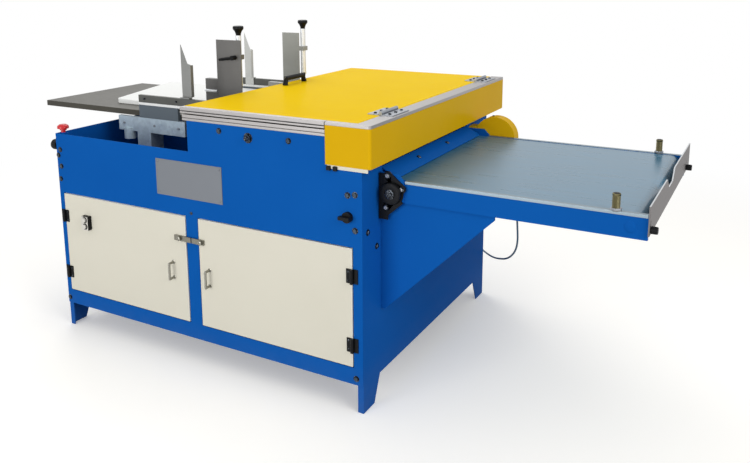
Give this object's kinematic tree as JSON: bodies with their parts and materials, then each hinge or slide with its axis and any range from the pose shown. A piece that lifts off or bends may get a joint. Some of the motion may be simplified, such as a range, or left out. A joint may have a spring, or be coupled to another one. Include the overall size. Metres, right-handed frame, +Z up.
{
  "type": "book spine rounding machine",
  "caption": "Floor-standing machine that rounds book spines: blue cabinet, yellow hinged lid, side infeed table with stack guides and a belt outfeed",
  "frame": {"origin": "middle of the part's box in plan, on the floor", "axes": "+X from infeed table to outfeed belt, +Y from the door side to the back, +Z up"},
  "size_m": [2.3276, 1.137, 1.11],
  "materials": {
    "blue_paint": "satin",
    "yellow_paint": "satin",
    "cream_paint": "satin",
    "bright_aluminium": "brushed",
    "plate_steel": "brushed",
    "dark_steel": "brushed",
    "grey_paint": "satin",
    "slate_paint": "satin",
    "black_plastic": "matte",
    "white_plastic": "matte",
    "red_plastic": "gloss",
    "belt_rubber": "matte",
    "brass": "satin",
    "cable_jacket": "matte"
  },
  "bodies": {
    "base": {"left_end_plate": "blue_paint", "right_end_plate": "blue_paint", "front_panel": "blue_paint", "back_panel": "blue_paint", "rail_bracket": "blue_paint", "chute_plate": "blue_paint", "lid_bars": "bright_aluminium", "hood": "yellow_paint", "lid_hinge_bases": "plate_steel", "nameplate": "bright_aluminium", "panel_bolts": "plate_steel", "door_hinge_bases": "black_plastic", "estop_base": "blue_paint", "gearmotor": "slate_paint", "shaft_bearings": "black_plastic", "drive_chain": "dark_steel", "conveyor_sides": "blue_paint", "slider_bed": "plate_steel", "conveyor_belt": "belt_rubber", "drive_guard": "yellow_paint", "sensor_posts": "brass", "infeed_table": "grey_paint", "table_boxes": "slate_paint", "table_brackets": "plate_steel", "slide_plate": "white_plastic", "side_rails": "dark_steel", "cable_glands": "black_plastic", "sensor_cable": "cable_jacket"},
    "lid": {"lid": "yellow_paint", "lid_profile": "bright_aluminium", "lid_handle": "black_plastic", "lid_hinge_leaves": "plate_steel"},
    "left_door": {"left_door": "cream_paint", "left_door_pull": "plate_steel", "left_hinge_leaves": "black_plastic", "switch_box": "white_plastic"},
    "start_button": {"start_button": "white_plastic"},
    "stop_button": {"stop_button": "white_plastic"},
    "right_door": {"right_door": "cream_paint", "right_door_pull": "plate_steel", "right_hinge_leaves": "black_plastic"},
    "left_catch": {"left_catch": "plate_steel"},
    "right_catch": {"right_catch": "plate_steel"},
    "estop_button": {"estop_button": "red_plastic"},
    "main_switch": {"main_switch": "black_plastic"},
    "side_knob": {"side_knob": "black_plastic"},
    "lower_roller": {"lower_roller": "dark_steel"},
    "upper_roller": {"upper_roller": "dark_steel"},
    "drive_drum": {"drive_drum": "plate_steel"},
    "idler_drum": {"idler_drum": "plate_steel"},
    "front_guide": {"front_guide": "dark_steel"},
    "rear_guide": {"rear_guide": "dark_steel"},
    "front_hold_rod": {"front_hold_rod": "plate_steel"},
    "rear_hold_rod": {"rear_hold_rod": "plate_steel"},
    "clamp_lever": {"clamp_lever": "black_plastic"},
    "front_fin": {"front_fin": "dark_steel"},
    "rear_fin": {"rear_fin": "dark_steel"},
    "end_stop": {"end_stop": "bright_aluminium"},
    "front_stop_knob": {"front_stop_knob": "black_plastic"},
    "rear_stop_knob": {"rear_stop_knob": "black_plastic"}
  },
  "joints": [
    {"name": "lid_hinge", "type": "hinge", "parent": "base", "child": "lid", "pos_m": [0.37525, 0.0195, 0.8864], "axis": [0, 1, 0], "range_deg": [0, 95]},
    {"name": "left_door_hinge", "type": "hinge", "parent": "base", "child": "left_door", "pos_m": [-0.84125, -0.5489, 0.33], "axis": [0, 0, 1], "range_deg": [-110, 0]},
    {"name": "right_door_hinge", "type": "hinge", "parent": "base", "child": "right_door", "pos_m": [0.36375, -0.5489, 0.33], "axis": [0, 0, 1], "range_deg": [0, 110]},
    {"name": "left_catch_turn", "type": "hinge", "parent": "left_door", "child": "left_catch", "pos_m": [-0.28875, -0.5465, 0.438], "axis": [0, 1, 0], "range_deg": [0, 90]},
    {"name": "right_catch_turn", "type": "hinge", "parent": "right_door", "child": "right_catch", "pos_m": [-0.19875, -0.5465, 0.438], "axis": [0, 1, 0], "range_deg": [0, 90]},
    {"name": "start_button_press", "type": "slide", "parent": "left_door", "child": "start_button", "axis": [0, 1, 0], "range_m": [0, 0.003], "stiffness_N_per_m": 400},
    {"name": "stop_button_press", "type": "slide", "parent": "left_door", "child": "stop_button", "axis": [0, 1, 0], "range_m": [0, 0.003], "stiffness_N_per_m": 400},
    {"name": "estop_press", "type": "slide", "parent": "base", "child": "estop_button", "axis": [0, 0, -1], "range_m": [0, 0.006], "stiffness_N_per_m": 1200, "springref_m": -0.001},
    {"name": "main_switch_turn", "type": "hinge", "parent": "base", "child": "main_switch", "pos_m": [0.35025, -0.5505, 0.608], "axis": [0, 1, 0], "range_deg": [0, 90]},
    {"name": "side_knob_turn", "type": "hinge", "parent": "base", "child": "side_knob", "pos_m": [-0.87575, -0.5145, 0.686], "axis": [1, 0, 0], "continuous": true},
    {"name": "lower_roller_turn", "type": "hinge", "parent": "base", "child": "lower_roller", "pos_m": [0.00225, -0.0405, 0.754], "axis": [0, 1, 0], "continuous": true},
    {"name": "upper_roller_turn", "type": "hinge", "parent": "base", "child": "upper_roller", "pos_m": [0.00225, -0.0405, 0.804], "axis": [0, 1, 0], "continuous": true},
    {"name": "drive_drum_turn", "type": "hinge", "parent": "base", "child": "drive_drum", "pos_m": [0.44125, -0.0775, 0.6666], "axis": [0, 1, 0], "continuous": true},
    {"name": "idler_drum_turn", "type": "hinge", "parent": "base", "child": "idler_drum", "pos_m": [1.09925, -0.0775, 0.6666], "axis": [0, 1, 0], "continuous": true},
    {"name": "front_guide_slide", "type": "slide", "parent": "base", "child": "front_guide", "axis": [0, 1, 0], "range_m": [-0.02, 0.12]},
    {"name": "rear_guide_slide", "type": "slide", "parent": "base", "child": "rear_guide", "axis": [0, 1, 0], "range_m": [-0.12, 0.01]},
    {"name": "front_hold_slide", "type": "slide", "parent": "front_guide", "child": "front_hold_rod", "axis": [0, 0, 1], "range_m": [-0.06, 0.02]},
    {"name": "rear_hold_slide", "type": "slide", "parent": "rear_guide", "child": "rear_hold_rod", "axis": [0, 0, 1], "range_m": [-0.03, 0.02]},
    {"name": "clamp_lever_turn", "type": "hinge", "parent": "front_guide", "child": "clamp_lever", "pos_m": [-0.30975, -0.2105, 0.9985], "axis": [0, 1, 0], "range_deg": [-60, 60]},
    {"name": "front_fin_slide", "type": "slide", "parent": "base", "child": "front_fin", "axis": [1, 0, 0], "range_m": [-0.08, 0.08]},
    {"name": "rear_fin_slide", "type": "slide", "parent": "base", "child": "rear_fin", "axis": [1, 0, 0], "range_m": [-0.07, 0.08]},
    {"name": "end_stop_slide", "type": "slide", "parent": "base", "child": "end_stop", "axis": [0, 0, 1], "range_m": [-0.02, 0]},
    {"name": "front_stop_knob_turn", "type": "hinge", "parent": "base", "child": "front_stop_knob", "pos_m": [1.15425, -0.4265, 0.665], "axis": [1, 0, 0], "continuous": true},
    {"name": "rear_stop_knob_turn", "type": "hinge", "parent": "base", "child": "rear_stop_knob", "pos_m": [1.15425, 0.2715, 0.665], "axis": [1, 0, 0], "continuous": true}
  ],
  "couplings": [
    {"joint": "upper_roller_turn", "follows": "lower_roller_turn", "ratio": -1},
    {"joint": "drive_drum_turn", "follows": "lower_roller_turn", "ratio": 1},
    {"joint": "idler_drum_turn", "follows": "lower_roller_turn", "ratio": 1}
  ]
}
